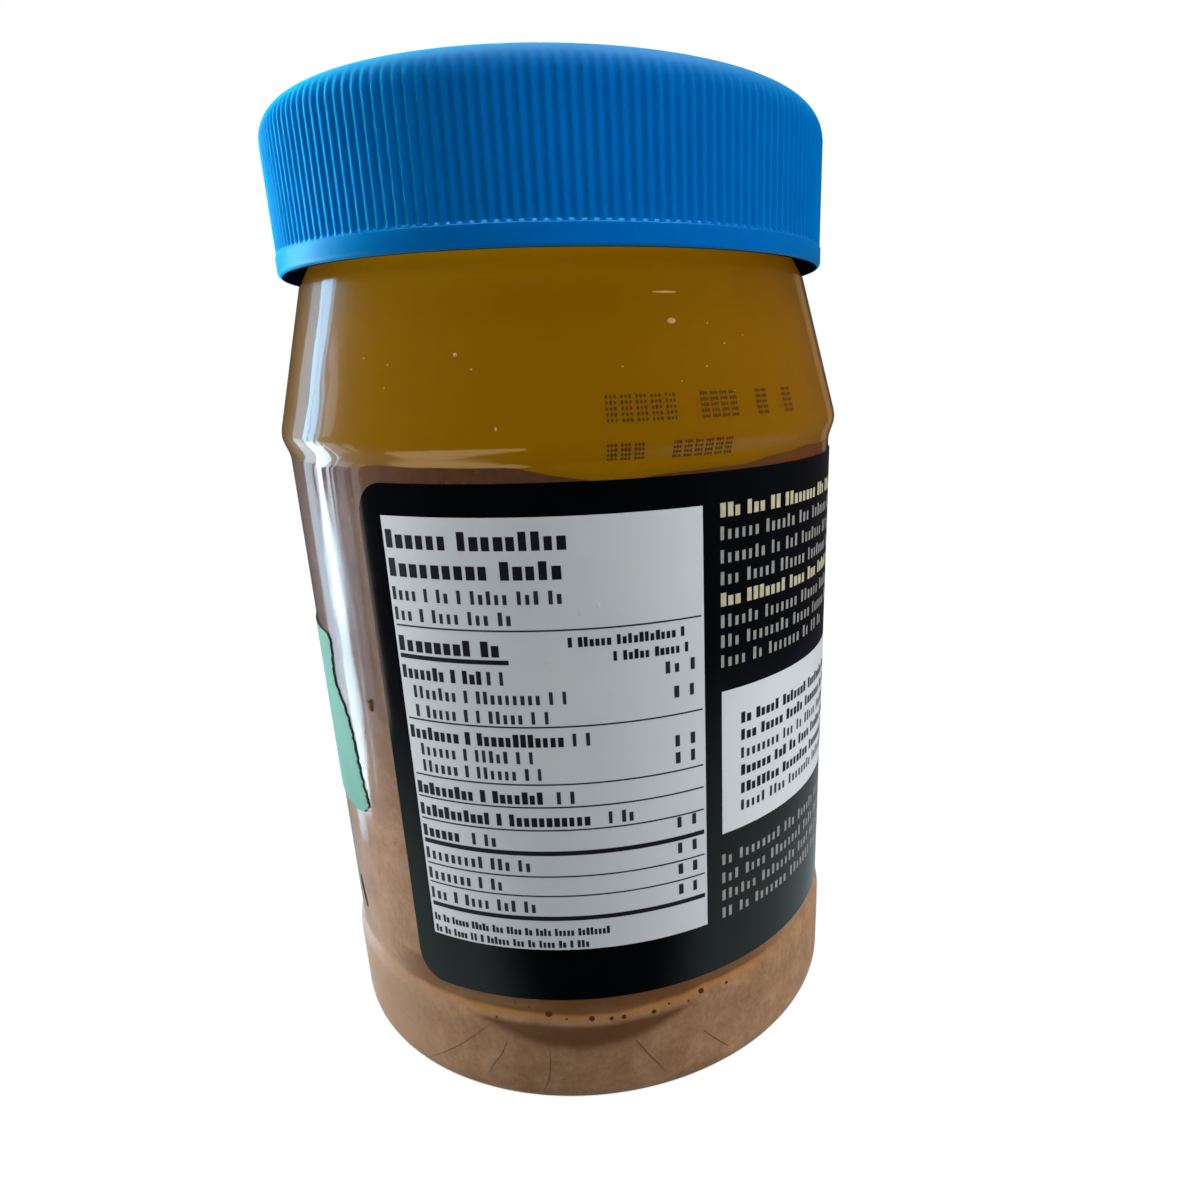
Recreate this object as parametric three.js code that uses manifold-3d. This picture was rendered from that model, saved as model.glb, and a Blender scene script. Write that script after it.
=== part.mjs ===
// A family-size peanut butter jar that has stood until its oil rose: a clear jar with a ribbed screw cap,
// the settled paste, the oil above it, a dark label at the back and a green label at the front.
// Millimetres, +Z up. The origin is the centre of the foot, and the back label faces -Y.
import * as THREE from 'three';
import { mergeVertices } from 'three/addons/utils/BufferGeometryUtils.js';
import Module from 'manifold-3d';

const wasm = await Module();
wasm.setup();

// Driving dimensions
const TOTAL_HEIGHT = 161;
const BEAD_RADIUS = 49.05;
const PANEL_RADIUS = 48.15;
const CAP_RADIUS = 45.8;
const CAP_HEIGHT = 23.3;
const GAP = 0.3;

// Jar
const WALL = 0.6;
const CORNER_RADIUS = 4.85;
const FOOT_INNER_RADIUS = 38.5;
const PUSH_UP = 3;
const BAND_TOP = 17.6;
const PANEL_LOW = 21.6;
const PANEL_HIGH = 109.8;
const RIDGE_HEIGHT = 113.6;
const SHOULDER_LOW = 115.6;
const SHOULDER_LOW_RADIUS = 48.66;
const NECK_LOW = 138.3;
const NECK_RADIUS = 42.4;
const NECK_WALL = 1.5;

// Cap
const CAP_TOP_WALL = 1.4;
const CAP_SKIRT_WALL = 1.4;
const CAP_EDGE_ROUND = 0.75;
const CAP_TOP_RADIUS = 45.65;
const CAP_FILLET = 4.85;
const CAP_RECESS_RADIUS = 36.5;
const CAP_RECESS = 0.5;
const FLANGE_HEIGHT = 2.7;
const RIBS = 180;
const RIB_DEPTH = 0.45;
const GROOVE_RUN_OUT = 0.6;

// Contents
const PASTE_LEVEL = 110.3;
const OIL_LEVEL = 141.5;

// Labels, with angles in degrees from +X round to +Y
const LABEL_INNER_RADIUS = 48.4;
const LABEL_THICKNESS = 0.22;
const BACK_LABEL = { start: -129.6, end: 20.4, low: 22.2, high: 108.3, corner: 5 };
const FRONT_LABEL = { middle: 125.4, low: 26, high: 104, wingLow: 50, wingHigh: 82, panel: 34, shoulder: 62 };
// Each wing ends on a slant: degrees from the label's middle, height of its top and of its bottom edge
const WING_TIP = [
  [80, 82, 50],
  [84.6, 81.6, 50],
  [86.2, 74, 50],
  [88.4, 69.6, 50.2],
  [90.4, 65, 50.8],
  [92, 59.4, 51.5],
  [93.4, 54.6, 52.8],
];

const JAR_SIDES = 72;
const CONTENTS_SIDES = 48;
const CAP_BOTTOM = TOTAL_HEIGHT - CAP_HEIGHT;
const CAP_FILLET_LOW = TOTAL_HEIGHT - CAP_FILLET;
const RIM_HEIGHT = TOTAL_HEIGHT - CAP_RECESS - CAP_TOP_WALL - GAP;

const radians = THREE.MathUtils.degToRad;
const point = (radius, height) => new THREE.Vector2(radius, height);

// Points of a round corner from one angle to another, both in degrees
function arc(centreRadius, centreHeight, radius, from, to, steps) {
  return Array.from({ length: steps + 1 }, (_, i) => {
    const angle = radians(from + ((to - from) * i) / steps);
    return point(centreRadius + radius * Math.cos(angle), centreHeight + radius * Math.sin(angle));
  });
}

// A profile of (radius, height) points turned round the Z axis
function turned(profile, sides) {
  const geometry = new THREE.LatheGeometry(profile, sides);
  geometry.rotateX(Math.PI / 2);
  return geometry;
}

function solid(geometry) {
  const bare = geometry.clone();
  bare.deleteAttribute('normal');
  bare.deleteAttribute('uv');
  const merged = mergeVertices(bare, 1e-4);
  const index = merged.getIndex().array;
  const triangles = [];
  for (let i = 0; i < index.length; i += 3) {
    const [a, b, c] = index.slice(i, i + 3);
    if (a !== b && b !== c && c !== a) {
      triangles.push(a, b, c);
    }
  }
  const vertProperties = new Float32Array(merged.getAttribute('position').array);
  const triVerts = new Uint32Array(triangles);
  return new wasm.Manifold(new wasm.Mesh({ numProp: 3, vertProperties, triVerts }));
}

function piece(name, body, color, roughness, opacity = 1) {
  const { vertProperties, triVerts } = body.getMesh();
  const geometry = new THREE.BufferGeometry();
  geometry.setAttribute('position', new THREE.BufferAttribute(vertProperties, 3));
  geometry.setIndex(new THREE.BufferAttribute(triVerts, 1));
  geometry.computeVertexNormals();
  const finish = { color, roughness, metalness: 0, opacity, transparent: opacity < 1 };
  const mesh = new THREE.Mesh(geometry, new THREE.MeshStandardMaterial(finish));
  mesh.name = name;
  return mesh;
}

// The jar's side from the lower corner to the neck, as the outer radius moved in by inset
function sideProfile(inset) {
  const step = BEAD_RADIUS - PANEL_RADIUS;
  return [
    point(BEAD_RADIUS - inset, CORNER_RADIUS),
    point(BEAD_RADIUS - inset, BAND_TOP),
    point(BEAD_RADIUS - 0.3 * step - inset, BAND_TOP + 1.5),
    point(PANEL_RADIUS + 0.2 * step - inset, PANEL_LOW - 1),
    point(PANEL_RADIUS - inset, PANEL_LOW),
    point(PANEL_RADIUS - inset, PANEL_HIGH),
    point(PANEL_RADIUS + 0.25 * step - inset, PANEL_HIGH + 1.1),
    point(PANEL_RADIUS + 0.8 * step - inset, PANEL_HIGH + 2.3),
    point(BEAD_RADIUS - inset, RIDGE_HEIGHT),
    point(SHOULDER_LOW_RADIUS - inset, SHOULDER_LOW),
  ];
}

// The foot's corner, drawn from the foot up to the side, moved in by inset
function cornerProfile(inset, steps) {
  return arc(BEAD_RADIUS - CORNER_RADIUS, CORNER_RADIUS, CORNER_RADIUS - inset, -90, 0, steps).slice(0, -1);
}

// The base rises from the foot ring to a dome in the middle, lifted by inset
function baseProfile(inset) {
  return [
    point(0, PUSH_UP + inset),
    point(0.75 * FOOT_INNER_RADIUS, 0.85 * PUSH_UP + inset),
    point(FOOT_INNER_RADIUS - inset, 0.3 * PUSH_UP + inset),
    point(FOOT_INNER_RADIUS + 2 - inset, inset),
  ];
}

function jar() {
  const outside = [
    ...baseProfile(0),
    ...cornerProfile(0, 4),
    ...sideProfile(0),
    point(NECK_RADIUS, NECK_LOW),
    point(NECK_RADIUS, RIM_HEIGHT),
  ];
  const inside = [
    ...baseProfile(WALL),
    ...cornerProfile(WALL, 3),
    ...sideProfile(WALL),
    point(NECK_RADIUS - NECK_WALL, NECK_LOW),
    point(NECK_RADIUS - NECK_WALL, RIM_HEIGHT),
  ];
  return solid(turned([...outside, ...inside.reverse()], JAR_SIDES));
}

// How far the paste's top stands above its level, at a place given by its share of the radius and its angle
function pasteWaves(share, angle) {
  const dip = (middle, width) => {
    const away = Math.atan2(Math.sin(angle - radians(middle)), Math.cos(angle - radians(middle)));
    return Math.exp(-((away / radians(width)) ** 2));
  };
  const edge = 0.25 * Math.sin(3 * angle + 1.2) - 2.3 * dip(-75, 16) - 1.4 * dip(40, 30) + 0.7 * dip(150, 35);
  return 0.9 * (1 - share ** 2) + edge * share ** 2;
}

// Turns a profile and lifts the points of the rows that lie on the paste's top by its waves
function poured(profile, topRows) {
  const geometry = turned(profile, CONTENTS_SIDES);
  const position = geometry.getAttribute('position');
  const edgeRadius = PANEL_RADIUS - WALL - GAP;
  for (let i = 0; i < position.count; i += 1) {
    if (topRows.includes(i % profile.length)) {
      const share = Math.min(1, Math.hypot(position.getX(i), position.getY(i)) / edgeRadius);
      const angle = Math.atan2(position.getY(i), position.getX(i));
      position.setZ(i, position.getZ(i) + pasteWaves(share, angle));
    }
  }
  return solid(geometry);
}

// The rows of the paste's top from the middle to the wall, at the given height
function topRing(height) {
  const edgeRadius = PANEL_RADIUS - WALL - GAP;
  return [0, 0.35, 0.7, 1].map((share) => point(share * edgeRadius, height));
}

function peanutButter() {
  const inset = WALL + GAP;
  const side = sideProfile(inset).slice(0, 5);
  const shell = [...baseProfile(inset), ...cornerProfile(inset, 3), ...side];
  const top = topRing(PASTE_LEVEL).reverse();
  const profile = [...shell, ...top];
  return poured(profile, top.map((_, i) => shell.length + i));
}

function oil() {
  const bottom = topRing(PASTE_LEVEL + GAP);
  const neckRadius = NECK_RADIUS - NECK_WALL - GAP;
  const side = sideProfile(WALL + GAP).slice(7);
  const top = [point(neckRadius, NECK_LOW - 1), point(neckRadius, OIL_LEVEL), point(0, OIL_LEVEL)];
  return poured([...bottom, ...side, ...top], bottom.map((_, i) => i));
}

// The cap's outside: a smooth flange at the foot, then upright ribs that fade into the round top edge
function capOutside() {
  const smooth = [
    point(0, CAP_BOTTOM),
    point(CAP_RADIUS - CAP_EDGE_ROUND, CAP_BOTTOM),
    point(CAP_RADIUS, CAP_BOTTOM + CAP_EDGE_ROUND),
    point(CAP_RADIUS, CAP_BOTTOM + FLANGE_HEIGHT),
  ];
  const ribbed = [
    point(CAP_RADIUS, CAP_BOTTOM + FLANGE_HEIGHT + GROOVE_RUN_OUT),
    point(CAP_TOP_RADIUS, CAP_FILLET_LOW),
  ];
  const top = [
    ...arc(CAP_TOP_RADIUS - CAP_FILLET, CAP_FILLET_LOW, CAP_FILLET, 0, 90, 2).slice(1),
    point(0, TOTAL_HEIGHT),
  ];
  const profile = [...smooth, ...ribbed, ...top];
  const geometry = turned(profile, 2 * RIBS);
  const position = geometry.getAttribute('position');
  const inGroove = (row) => row >= smooth.length && row < smooth.length + ribbed.length;
  for (let i = 0; i < position.count; i += 1) {
    const column = Math.floor(i / profile.length);
    if (column % 2 === 1 && inGroove(i % profile.length)) {
      const radius = Math.hypot(position.getX(i), position.getY(i));
      const scale = (radius - RIB_DEPTH) / radius;
      position.setX(i, position.getX(i) * scale);
      position.setY(i, position.getY(i) * scale);
    }
  }
  return solid(geometry);
}

function cap() {
  const innerRadius = CAP_RADIUS - CAP_SKIRT_WALL;
  const ceiling = TOTAL_HEIGHT - CAP_RECESS - CAP_TOP_WALL;
  const hollow = [
    point(0, CAP_BOTTOM - 1),
    point(innerRadius, CAP_BOTTOM - 1),
    point(innerRadius, ceiling - CAP_SKIRT_WALL),
    point(innerRadius - CAP_SKIRT_WALL, ceiling),
    point(0, ceiling),
  ];
  const recess = [
    point(0, TOTAL_HEIGHT - CAP_RECESS),
    point(CAP_RECESS_RADIUS, TOTAL_HEIGHT - CAP_RECESS),
    point(CAP_RECESS_RADIUS + CAP_RECESS, TOTAL_HEIGHT),
    point(CAP_RECESS_RADIUS + CAP_RECESS, TOTAL_HEIGHT + 1),
    point(0, TOTAL_HEIGHT + 1),
  ];
  const cuts = [hollow, recess].map((profile) => solid(turned(profile, JAR_SIDES)));
  return cuts.reduce((body, cut) => body.subtract(cut), capOutside());
}

// A thin strip bent round the jar, from columns of an angle in degrees and a low and a high edge
function wrapped(columns) {
  const last = columns.length - 1;
  const geometry = new THREE.BoxGeometry(last, LABEL_THICKNESS, 1, last, 1, 1);
  const position = geometry.getAttribute('position');
  for (let i = 0; i < position.count; i += 1) {
    const [degrees, low, high] = columns[Math.round(position.getX(i) + last / 2)];
    const radius = LABEL_INNER_RADIUS + LABEL_THICKNESS / 2 - position.getY(i);
    const height = low + (high - low) * (position.getZ(i) + 0.5);
    position.setXYZ(i, radius * Math.cos(radians(degrees)), radius * Math.sin(radians(degrees)), height);
  }
  return solid(geometry);
}

function backLabel() {
  const { start, end, low, high, corner } = BACK_LABEL;
  const toDegrees = (length) => THREE.MathUtils.radToDeg(length / LABEL_INNER_RADIUS);
  const rounded = [0, 27, 58, 90].map((turn) => [
    toDegrees(corner * (1 - Math.cos(radians(turn)))),
    corner * (1 - Math.sin(radians(turn))),
  ]);
  const straight = 28;
  const columns = rounded.map(([along, inset]) => [start + along, low + inset, high - inset]);
  const from = start + toDegrees(corner);
  const to = end - toDegrees(corner);
  for (let i = 1; i < straight; i += 1) {
    columns.push([from + ((to - from) * i) / straight, low, high]);
  }
  columns.push(...rounded.reverse().map(([along, inset]) => [end - along, low + inset, high - inset]));
  return wrapped(columns);
}

function frontLabel() {
  const { middle, low, high, wingLow, wingHigh, panel, shoulder } = FRONT_LABEL;
  const step = 4;
  const reach = WING_TIP[0][0] - step;
  const columns = [];
  for (let away = -reach; away <= reach; away += step) {
    const blend = THREE.MathUtils.smoothstep(Math.abs(away), panel, shoulder);
    columns.push([middle + away, low + (wingLow - low) * blend, high + (wingHigh - high) * blend]);
  }
  const tip = (side) => WING_TIP.map(([away, top, bottom]) => [middle + side * away, bottom, top]);
  return wrapped([...tip(-1).reverse(), ...columns, ...tip(1)]);
}

const model = new THREE.Group();
model.add(
  piece('jar', jar(), 0xdfe6e4, 0.05, 0.3),
  piece('cap', cap(), 0x0a6fc0, 0.38),
  piece('peanut_butter', peanutButter(), 0x9c7650, 0.75),
  piece('oil', oil(), 0x9a6c10, 0.1, 0.8),
  piece('back_label', backLabel(), 0x0b0f13, 0.3),
  piece('front_label', frontLabel(), 0x82cdbe, 0.35),
);

export default model;
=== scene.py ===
# A clear jar of settled peanut butter: ribbed blue cap, amber oil over the paste, a dark label with blank
# print blocks towards -Y and a green label on the other side. Measures are in millimetres and degrees.
import math
import random

import bpy
from mathutils import Matrix, Vector


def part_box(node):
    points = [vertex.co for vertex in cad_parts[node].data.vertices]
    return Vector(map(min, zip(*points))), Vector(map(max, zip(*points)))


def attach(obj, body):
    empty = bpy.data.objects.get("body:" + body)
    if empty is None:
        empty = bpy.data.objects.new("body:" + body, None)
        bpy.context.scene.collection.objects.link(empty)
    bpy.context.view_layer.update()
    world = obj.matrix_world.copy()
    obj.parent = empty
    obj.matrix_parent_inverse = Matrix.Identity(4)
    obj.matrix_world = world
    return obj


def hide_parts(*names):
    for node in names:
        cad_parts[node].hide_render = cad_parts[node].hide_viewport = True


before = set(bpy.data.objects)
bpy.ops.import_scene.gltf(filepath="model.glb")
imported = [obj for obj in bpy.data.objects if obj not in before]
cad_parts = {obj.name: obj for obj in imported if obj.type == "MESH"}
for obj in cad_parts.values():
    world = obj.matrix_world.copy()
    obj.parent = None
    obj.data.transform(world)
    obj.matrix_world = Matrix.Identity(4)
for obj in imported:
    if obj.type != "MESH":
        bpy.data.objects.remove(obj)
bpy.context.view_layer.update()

MM = 0.001


def box_mm(node):
    low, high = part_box(node)
    return low / MM, high / MM


# Sizes that the frame gives
JAR_LOW, JAR_HIGH = box_mm("jar")
CAP_LOW, CAP_HIGH = box_mm("cap")
OIL_LOW, OIL_HIGH = box_mm("oil")
FILM_LOW, FILM_HIGH = box_mm("back_label")
FRONT_LOW, FRONT_HIGH = box_mm("front_label")
BEAD_RADIUS = JAR_HIGH.x
CAP_RADIUS = CAP_HIGH.x

# Jar profile
WALL = 0.6
STEP = 0.9
PANEL_RADIUS = BEAD_RADIUS - STEP
CORNER_RADIUS = 4.85
FOOT_INNER_RADIUS = 38.5
PUSH_UP = 3.0
BAND_TOP = 17.6
PANEL_LOW = 21.6
PANEL_HIGH = 109.8
RIDGE_HEIGHT = 113.6
SHOULDER_LOW = 115.6
SHOULDER_LOW_RADIUS = 48.66
NECK_LOW = 138.3
NECK_RADIUS = 42.4
NECK_WALL = 1.5
JAR_SIDES = 288

# Cap
RIBS = 180
COLUMNS_PER_RIB = 10
RIB_DEPTH = 0.28
CAP_FILLET = 4.85
CAP_TOP_RADIUS = 45.65
CAP_SKIRT_WALL = 1.4
CAP_TOP_WALL = 1.4
CAP_RECESS_RADIUS = 36.5
CAP_RECESS = 0.5
CAP_EDGE_ROUND = 0.75
FLANGE_HEIGHT = 2.9
FLANGE_LEDGE = 0.15
RUN_OUT = 0.45

# Contents, which reach just into the wall
PASTE_LEVEL = 110.3
PASTE_INSET = 0.14
OIL_INSET = 0.12

# Labels: angles from +X round to +Y
FILM_INNER = PANEL_RADIUS + 0.02
FILM_OUTER = PANEL_RADIUS + 0.24
PRINT_LIFT = 0.02
BACK_START = -129.6
BACK_END = 20.4
BACK_CORNER = 5.0

random.seed(7)


def srgb(red, green, blue, alpha=1.0):
    """A colour given as screen values from 0 to 255, as linear light."""

    def linear(value):
        share = value / 255
        return share / 12.92 if share <= 0.04045 else ((share + 0.055) / 1.055) ** 2.4

    return (linear(red), linear(green), linear(blue), alpha)


def smoothstep(value, low, high):
    share = min(1.0, max(0.0, (value - low) / (high - low)))
    return share * share * (3 - 2 * share)


def around(radius, degrees, height):
    angle = math.radians(degrees)
    return Vector((radius * math.cos(angle), radius * math.sin(angle), height))


# Mesh helpers


def piece(name, vertices, faces, material, slot, replaces=(), sharp=40):
    """A new object from millimetre points, riding on the jar's body."""
    mesh = bpy.data.meshes.new(name)
    mesh.from_pydata([Vector(v) * MM for v in vertices], [], faces)
    mesh.validate()
    for polygon in mesh.polygons:
        polygon.use_smooth = True
    mesh.set_sharp_from_angle(angle=math.radians(sharp))
    mesh.materials.append(material)
    thing = bpy.data.objects.new(name, mesh)
    bpy.context.scene.collection.objects.link(thing)
    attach(thing, "root")
    if replaces:
        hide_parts(*replaces)
    return thing


def turned(profile, sides, closed=False, place=None):
    """Vertices and faces of a profile of (radius, height) turned round Z. An open profile starts and ends
    on the axis. place(radius, height, degrees) may move a point."""
    place = place or (lambda radius, height, degrees: around(radius, degrees, height))
    vertices = []
    faces = []
    rows = []
    for radius, height in profile:
        if radius < 1e-6:
            rows.append([len(vertices)] * sides)
            vertices.append(place(0, height, 0))
        else:
            rows.append([len(vertices) + i for i in range(sides)])
            vertices += [place(radius, height, 360 * i / sides) for i in range(sides)]
    pairs = list(zip(rows, rows[1:]))
    if closed:
        pairs.append((rows[-1], rows[0]))
    for low, high in pairs:
        for i in range(sides):
            j = (i + 1) % sides
            corners = [low[i], low[j], high[j], high[i]]
            face = [c for k, c in enumerate(corners) if c not in corners[:k]]
            if len(face) > 2:
                faces.append(face)
    return vertices, faces


def sheet_round(grid, inner, outer):
    """A thin closed sheet bent round the jar. grid holds rows of (degrees, height), from low to high, each
    from the start to the end of the sheet."""
    rows = len(grid)
    columns = len(grid[0])
    points = [(degrees, height) for row in grid for degrees, height in row]
    vertices = [around(outer, *p) for p in points] + [around(inner, *p) for p in points]
    back = len(points)

    def at(row, column):
        return row * columns + column

    faces = []
    for r in range(rows - 1):
        for c in range(columns - 1):
            quad = [at(r, c), at(r, c + 1), at(r + 1, c + 1), at(r + 1, c)]
            faces.append(quad)
            faces.append([back + v for v in reversed(quad)])
    rim = [at(0, c) for c in range(columns - 1)]
    rim += [at(r, columns - 1) for r in range(rows - 1)]
    rim += [at(rows - 1, c) for c in range(columns - 1, 0, -1)]
    rim += [at(r, 0) for r in range(rows - 1, 0, -1)]
    for a, b in zip(rim, rim[1:] + rim[:1]):
        faces.append([b, a, back + a, back + b])
    return vertices, faces


def joined(parts):
    """Vertices and faces of many parts as one."""
    vertices = []
    faces = []
    for more_vertices, more_faces in parts:
        start = len(vertices)
        vertices += more_vertices
        faces += [[start + v for v in face] for face in more_faces]
    return vertices, faces


def arc_degrees(length):
    return math.degrees(length / FILM_OUTER)


def rounded_grid(start, end, low, high, corner, rows=2, step=1.5):
    """A grid for sheet_round with round corners, corner being their radius."""
    turns = [90 * i / 8 for i in range(9)] if corner else [90]
    columns = [(start + arc_degrees(corner * (1 - math.cos(math.radians(t)))),
                corner * (1 - math.sin(math.radians(t)))) for t in turns]
    first = start + arc_degrees(corner)
    last = end - arc_degrees(corner)
    straight = max(1, round((last - first) / step))
    columns += [(first + (last - first) * i / straight, 0.0) for i in range(1, straight)]
    columns += [(end - arc_degrees(corner * (1 - math.cos(math.radians(t)))),
                 corner * (1 - math.sin(math.radians(t)))) for t in reversed(turns)]
    return [
        [(degrees, low + cut + (high - low - 2 * cut) * r / (rows - 1)) for degrees, cut in columns]
        for r in range(rows)
    ]


def block(start, end, low, high, inner, outer):
    """A plain block bent round the jar."""
    steps = max(1, round((end - start) / 1.5))
    columns = [start + (end - start) * i / steps for i in range(steps + 1)]
    return sheet_round([[(d, low) for d in columns], [(d, high) for d in columns]], inner, outer)


def blob(centre, along, up, out, width, height, depth, sides=10, rings=6):
    """A small ellipsoid with its three half sizes along the three directions."""
    vertices = [centre + up * height]
    for r in range(1, rings):
        lift = math.cos(math.pi * r / rings)
        spread = math.sin(math.pi * r / rings)
        for s in range(sides):
            turn = 2 * math.pi * s / sides
            vertices.append(
                centre + up * height * lift
                + along * width * spread * math.cos(turn)
                + out * depth * spread * math.sin(turn)
            )
    vertices.append(centre - up * height)
    faces = []
    for s in range(sides):
        t = (s + 1) % sides
        faces.append([0, 1 + t, 1 + s])
        for r in range(rings - 2):
            a = 1 + r * sides
            faces.append([a + s, a + t, a + sides + t, a + sides + s])
        a = 1 + (rings - 2) * sides
        faces.append([a + s, a + t, len(vertices) - 1])
    return vertices, faces


# Profiles


def wall_radius(height):
    """The outer radius of the jar at a height on its side, from the corner up to the neck."""
    if height < BAND_TOP:
        return BEAD_RADIUS
    if height < PANEL_LOW:
        return BEAD_RADIUS - STEP * smoothstep(height, BAND_TOP, PANEL_LOW)
    if height < PANEL_HIGH:
        return PANEL_RADIUS
    if height < RIDGE_HEIGHT:
        return PANEL_RADIUS + STEP * smoothstep(height, PANEL_HIGH, RIDGE_HEIGHT)
    if height < SHOULDER_LOW:
        share = (height - RIDGE_HEIGHT) / (SHOULDER_LOW - RIDGE_HEIGHT)
        return BEAD_RADIUS - (BEAD_RADIUS - SHOULDER_LOW_RADIUS) * share ** 1.6
    if height < NECK_LOW:
        share = (height - SHOULDER_LOW) / (NECK_LOW - SHOULDER_LOW)
        return SHOULDER_LOW_RADIUS + (NECK_RADIUS - SHOULDER_LOW_RADIUS) * share
    return NECK_RADIUS


def side_heights(low, high):
    """Heights of the side's profile points, close together where it bends."""
    heights = []
    z = low
    while z < high - 0.2:
        heights.append(z)
        bends = BAND_TOP - 1 < z < PANEL_LOW + 1 or PANEL_HIGH - 1 < z < SHOULDER_LOW + 1
        z += 0.4 if bends else 3.0
    return heights + [high]


def foot_profile(inset):
    """From the axis out along the base and round the corner, moved in by inset."""
    points = [(0, PUSH_UP + inset)]
    for share in (0.25, 0.5, 0.75, 0.9):
        points.append((share * FOOT_INNER_RADIUS, PUSH_UP * (1 - 0.7 * share ** 4) + inset))
    points.append((FOOT_INNER_RADIUS - inset, 0.3 * PUSH_UP + inset))
    points.append((FOOT_INNER_RADIUS + 2 - inset, inset))
    for i in range(11):
        angle = math.radians(-90 + 9 * i)
        radius = CORNER_RADIUS - inset
        points.append((
            BEAD_RADIUS - CORNER_RADIUS + radius * math.cos(angle),
            CORNER_RADIUS + radius * math.sin(angle),
        ))
    return points


def side_profile(inset, low, high):
    return [(wall_radius(z) - inset, z) for z in side_heights(low, high)]


def paste_edge(degrees):
    """How far the paste stands above its level at the wall."""

    def dip(middle, width):
        away = (degrees - middle + 180) % 360 - 180
        return math.exp(-((away / width) ** 2))

    waves = 0.25 * math.sin(math.radians(3 * degrees) + 1.2)
    ripple = 0.12 * math.sin(math.radians(17 * degrees)) + 0.08 * math.sin(math.radians(29 * degrees) + 2)
    return waves + ripple - 2.3 * dip(-82, 12) - 1.2 * dip(-60, 9) - 1.4 * dip(40, 30) + 0.7 * dip(150, 35)


# Node helpers


class Tree:
    """Short ways to add and link the nodes of one material."""

    def __init__(self, name):
        self.material = bpy.data.materials.new(name)
        self.start(self.material)
        self.output = self.add("ShaderNodeOutputMaterial")

    def start(self, owner):
        owner.use_nodes = True
        self.tree = owner.node_tree
        self.tree.nodes.clear()

    def add(self, kind, inputs=None, **settings):
        node = self.tree.nodes.new(kind)
        for key, value in settings.items():
            setattr(node, key, value)
        for key, value in (inputs or {}).items():
            self.feed(node.inputs[key], value)
        return node

    def feed(self, socket, value):
        if isinstance(value, bpy.types.NodeSocket):
            self.tree.links.new(value, socket)
        else:
            socket.default_value = value

    def math(self, operation, *values, clamp=False):
        node = self.add("ShaderNodeMath", operation=operation, use_clamp=clamp)
        for i, value in enumerate(values):
            self.feed(node.inputs[i], value)
        return node.outputs[0]

    def noise(self, vector, scale, detail=4.0, roughness=0.5, distortion=0.0):
        node = self.add("ShaderNodeTexNoise", {
            "Vector": vector, "Scale": scale, "Detail": detail, "Roughness": roughness,
            "Distortion": distortion,
        })
        return node.outputs["Fac"]

    def stretched(self, vector, x, y, z):
        node = self.add("ShaderNodeMapping", {"Vector": vector, "Scale": (x, y, z)})
        return node.outputs[0]

    def ramp(self, value, stops):
        node = self.add("ShaderNodeValToRGB", {"Fac": value})
        elements = node.color_ramp.elements
        while len(elements) < len(stops):
            elements.new(0.5)
        for element, (position, color) in zip(elements, stops):
            element.position = position
            element.color = color
        return node.outputs["Color"]

    def mask(self, value, low, high):
        """0 below low and 1 above high, or the other way round where low is the larger."""
        node = self.add("ShaderNodeMapRange", {"Value": value, "From Min": low, "From Max": high},
                        interpolation_type="SMOOTHSTEP")
        return node.outputs["Result"]

    def mix(self, share, first, second, blend="MIX"):
        node = self.add("ShaderNodeMix", data_type="RGBA", blend_type=blend)
        self.feed(node.inputs[0], share)
        self.feed(node.inputs[6], first)
        self.feed(node.inputs[7], second)
        return node.outputs[2]

    def places(self):
        """Object coordinates in millimetres, and from them the angle in degrees and the height."""
        source = self.add("ShaderNodeTexCoord").outputs["Object"]
        vector = self.stretched(source, 1 / MM, 1 / MM, 1 / MM)
        parts = self.add("ShaderNodeSeparateXYZ", {"Vector": vector})
        turn = self.math("ARCTAN2", parts.outputs["Y"], parts.outputs["X"])
        return vector, self.math("MULTIPLY", turn, 180 / math.pi), parts.outputs["Z"]

    def window(self, value, low, high, soft):
        """1 between low and high, with soft edges."""
        rise = self.mask(value, low - soft, low + soft)
        fall = self.mask(value, high + soft, high - soft)
        return self.math("MULTIPLY", rise, fall)

    def bump(self, height, strength, distance):
        node = self.add("ShaderNodeBump", {"Height": height, "Strength": strength, "Distance": distance * MM})
        return node.outputs["Normal"]

    def surface(self, inputs):
        shader = self.add("ShaderNodeBsdfPrincipled", inputs)
        self.tree.links.new(shader.outputs[0], self.output.inputs["Surface"])
        return self.material


# Materials


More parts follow.
